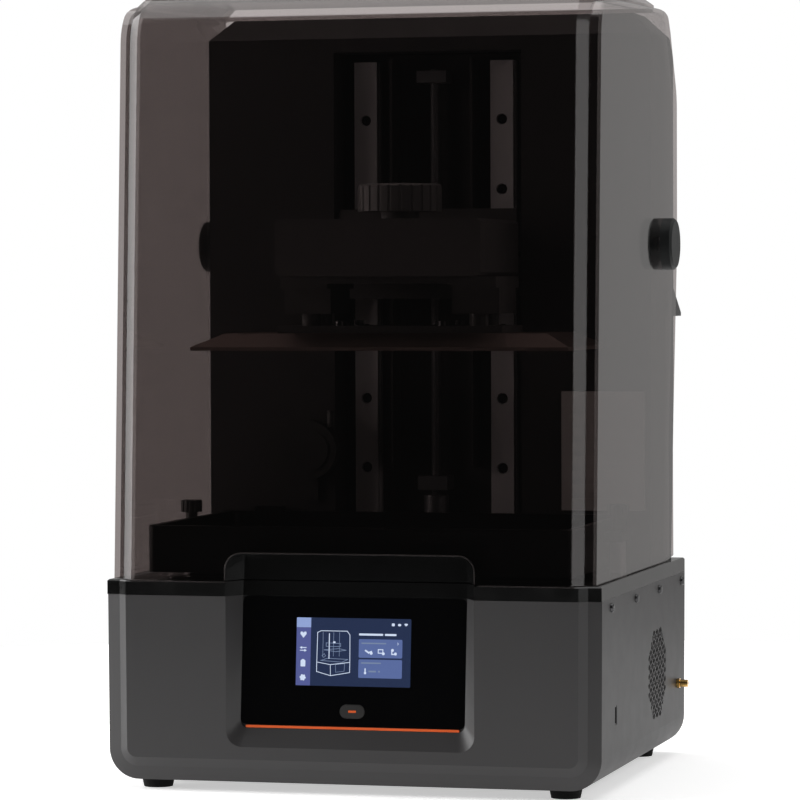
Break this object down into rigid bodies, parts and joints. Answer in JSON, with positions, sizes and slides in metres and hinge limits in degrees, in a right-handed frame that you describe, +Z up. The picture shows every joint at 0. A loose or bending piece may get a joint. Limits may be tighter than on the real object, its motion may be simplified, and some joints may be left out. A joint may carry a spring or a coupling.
{
  "type": "resin printer",
  "caption": "Large desktop resin 3D printer with a flip-up tinted hood, rear lifting tower, build platform, resin vat, touch display and cooling fan.",
  "frame": {"origin": "on the resting surface, under the middle of the whole printer's footprint", "axes": "+X to the printer's right, +Y to its rear, +Z up"},
  "size_m": [0.424, 0.401, 0.6518],
  "materials": {
    "housing_grey": "satin powder coat",
    "panel_grey": "fine satin",
    "deck_black": "semi-gloss black",
    "tinted_acrylic": "polished, smoke-brown tint",
    "cap_grey": "satin",
    "tower_black": "fine texture",
    "rear_metal": "satin powder coat",
    "dark_anodised": "black anodised",
    "arm_black": "black powder coat",
    "rail_steel": "ground",
    "bearing_steel": "satin",
    "platform_aluminium": "blasted",
    "light_aluminium": "milled",
    "black_fasteners": "nickel",
    "knob_black": "satin",
    "film_clear": "clear",
    "black_glass": "polished",
    "screen": "gloss",
    "accent_orange": "gloss",
    "button_grey": "satin",
    "inner_plastic": "moulded",
    "filter_white": "moulded",
    "circuit_green": "solder mask",
    "motor_black": "satin",
    "supply_steel": "galvanised",
    "brass_gold": "plated",
    "foot_rubber": "matte"
  },
  "bodies": {
    "base": {"accent_strip": "accent_orange", "antenna_connector": "brass_gold", "back_plate": "dark_anodised", "base_shell": "housing_grey", "bearing_blocks": "bearing_steel", "button_switch": "circuit_green", "display_carrier": "inner_plastic", "display_glass": "black_glass", "display_module": "screen", "fan_frame": "inner_plastic", "feed_pump": "inner_plastic", "filter_cassette": "filter_white", "front_panel": "panel_grey", "heat_sink": "light_aluminium", "hinge_pins": "rail_steel", "led_board": "circuit_green", "lens_plate": "film_clear", "lift_motor": "motor_black", "light_box": "light_aluminium", "main_board": "circuit_green", "mask_glass": "black_glass", "mask_screen": "screen", "power_inlet": "inner_plastic", "power_supply": "supply_steel", "rail_left": "rail_steel", "rail_right": "rail_steel", "rail_screws": "black_fasteners", "rear_bracket": "tower_black", "rear_panel": "rear_metal", "rubber_feet": "foot_rubber", "side_screws": "black_fasteners", "switch_housing": "inner_plastic", "top_deck": "deck_black", "tower_housing": "tower_black", "tower_rear_cover": "tower_black", "usb_port": "inner_plastic", "vat_posts": "light_aluminium", "vent_guards": "inner_plastic"},
    "hood": {"hood_shell": "tinted_acrylic", "hinge_caps": "cap_grey"},
    "vat": {"vat_body": "dark_anodised", "film_frame": "dark_anodised", "vat_film": "film_clear"},
    "thumb_left": {"thumb_screw_left": "knob_black"},
    "thumb_right": {"thumb_screw_right": "knob_black"},
    "carriage": {"slide_blocks": "bearing_steel", "carriage_plate": "arm_black", "lead_nut": "bearing_steel", "lift_arm": "arm_black"},
    "platform": {"platform_plate": "platform_aluminium", "platform_yoke": "arm_black", "platform_bolts": "black_fasteners"},
    "knob": {"lock_knob": "knob_black"},
    "screw": {"lead_screw": "rail_steel", "shaft_coupling": "bearing_steel", "motor_shaft": "rail_steel"},
    "fan": {"fan_rotor": "inner_plastic"},
    "button": {"power_button": "button_grey", "button_light": "accent_orange"},
    "rocker": {"power_rocker": "inner_plastic"}
  },
  "joints": [
    {"name": "hood_flip", "type": "hinge", "parent": "base", "child": "hood", "pos_m": [0, 0.093, 0.442], "axis": [-1, 0, 0], "range_deg": [0, 80]},
    {"name": "z_lift", "type": "slide", "parent": "base", "child": "carriage", "axis": [0, 0, 1], "range_m": [-0.176, 0.12]},
    {"name": "screw_turn", "type": "hinge", "parent": "base", "child": "screw", "pos_m": [0, 0.0875, 0.4], "axis": [0, 0, 1], "continuous": true},
    {"name": "platform_release", "type": "slide", "parent": "carriage", "child": "platform", "axis": [0, -1, 0], "range_m": [0, 0.06]},
    {"name": "knob_turn", "type": "hinge", "parent": "carriage", "child": "knob", "pos_m": [0, -0.034, 0.48], "axis": [0, 0, 1], "continuous": true},
    {"name": "vat_lift", "type": "slide", "parent": "base", "child": "vat", "axis": [0, 0, 1], "range_m": [0, 0.022]},
    {"name": "thumb_left_turn", "type": "hinge", "parent": "vat", "child": "thumb_left", "pos_m": [-0.1845, -0.031, 0.2], "axis": [0, 0, 1], "continuous": true},
    {"name": "thumb_right_turn", "type": "hinge", "parent": "vat", "child": "thumb_right", "pos_m": [0.1845, -0.031, 0.2], "axis": [0, 0, 1], "continuous": true},
    {"name": "fan_spin", "type": "hinge", "parent": "base", "child": "fan", "pos_m": [0.188, 0.0355, 0.0805], "axis": [1, 0, 0], "continuous": true},
    {"name": "power_press", "type": "slide", "parent": "base", "child": "button", "axis": [0, 0.996, -0.0898], "range_m": [0, 0.0008], "stiffness_N_per_m": 1500, "springref_m": -0.0004},
    {"name": "switch_rock", "type": "hinge", "parent": "base", "child": "rocker", "pos_m": [-0.1178, 0.155, 0.0688], "axis": [1, 0, 0], "range_deg": [0, 16]}
  ],
  "couplings": [
    {"joint": "screw_turn", "follows": "z_lift", "rad_per_m": -785.4}
  ]
}
